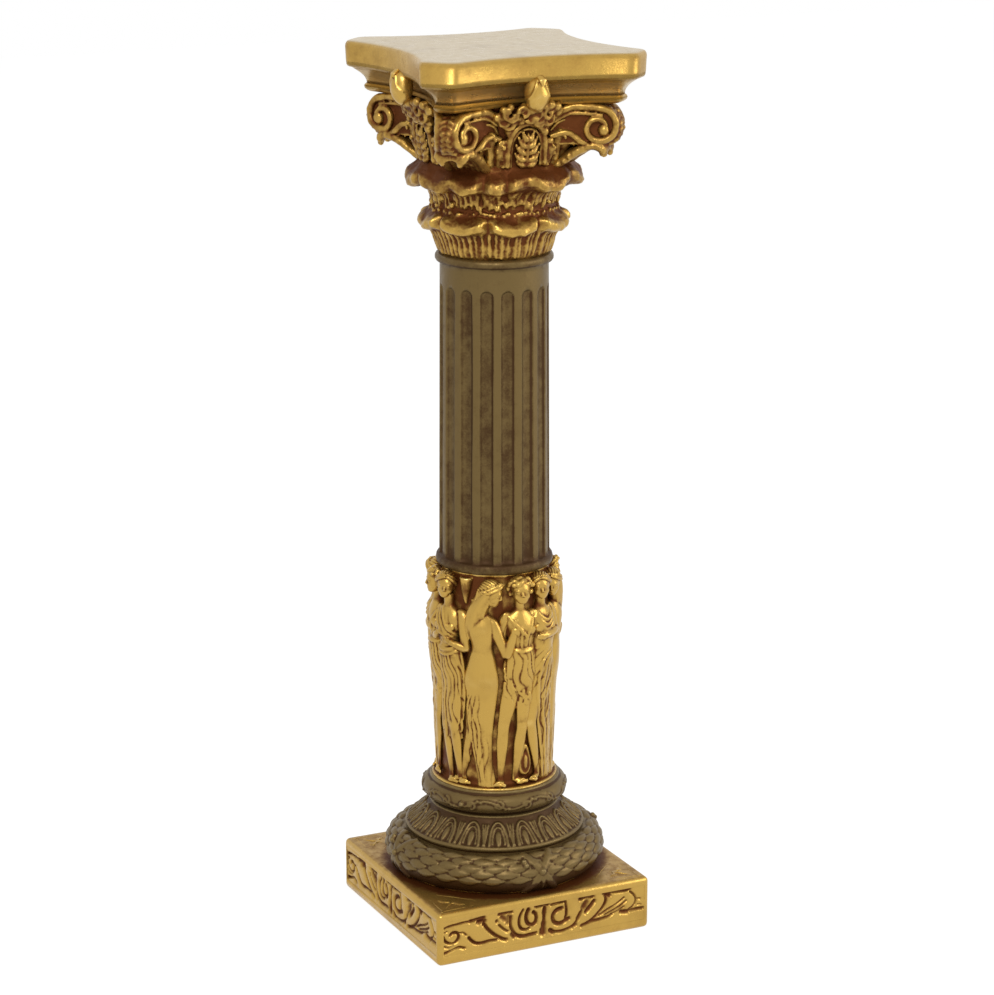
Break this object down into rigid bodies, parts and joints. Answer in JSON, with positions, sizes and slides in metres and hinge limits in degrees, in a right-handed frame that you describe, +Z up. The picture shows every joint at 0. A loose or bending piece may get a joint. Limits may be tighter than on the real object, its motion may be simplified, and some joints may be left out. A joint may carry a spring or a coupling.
{
  "type": "resin column",
  "caption": "Cast resin pedestal column: square scroll plinth, drum ringed by draped figures, fluted shaft, leaf capital and a concave-sided top slab.",
  "frame": {"origin": "centre of the square underside of the plinth, at floor level", "axes": "+Z up along the column; the wide front face of the picture looks along -Y and the narrow left face along -X"},
  "size_m": [0.2026, 0.2026, 0.755],
  "materials": {
    "bronze_paint": "olive bronze paint with dark brown wash in the hollows, satin",
    "gold_paint": "old gold paint over resin, lighter on the edges, brown in the hollows",
    "pale_gold_paint": "pale champagne paint, satin"
  },
  "bodies": {
    "root": {"resin_column": "bronze_paint"}
  },
  "joints": []
}
